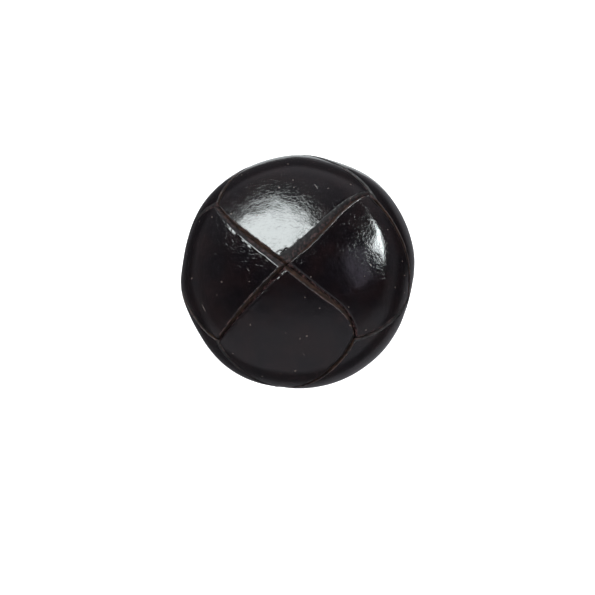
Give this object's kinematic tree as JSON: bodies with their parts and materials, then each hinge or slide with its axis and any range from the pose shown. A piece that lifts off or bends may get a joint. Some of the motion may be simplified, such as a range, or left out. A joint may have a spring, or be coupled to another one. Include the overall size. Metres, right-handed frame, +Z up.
{
  "type": "woven leather shank button",
  "caption": "Domed round button plaited from dark leather strips over a core, with a wire eye on its back to sew it on by.",
  "frame": {"origin": "centre of the half-round end of the wire eye, where the sewing thread pulls", "axes": "-Y out through the middle of the face, +Y towards the cloth, +Z up and +X to the right as the worn button is seen from in front"},
  "size_m": [0.025, 0.0168, 0.025],
  "materials": {
    "strap_leather": "polished dark brown-black strap leather",
    "core_plastic": "as moulded",
    "fibre_washer": "bonded leather fibre, dyed to match",
    "plated_steel": "pressed steel, dull antique nickel plating",
    "plated_wire": "drawn steel wire, antique nickel plating"
  },
  "bodies": {
    "root": {"top_strip": "strap_leather", "right_strip": "strap_leather", "bottom_strip": "strap_leather", "left_strip": "strap_leather", "core_dome": "core_plastic", "core_base": "core_plastic", "clinch_washer": "plated_steel", "back_washer": "fibre_washer", "shank_plate": "plated_steel", "shank_loop": "plated_wire"}
  },
  "joints": []
}
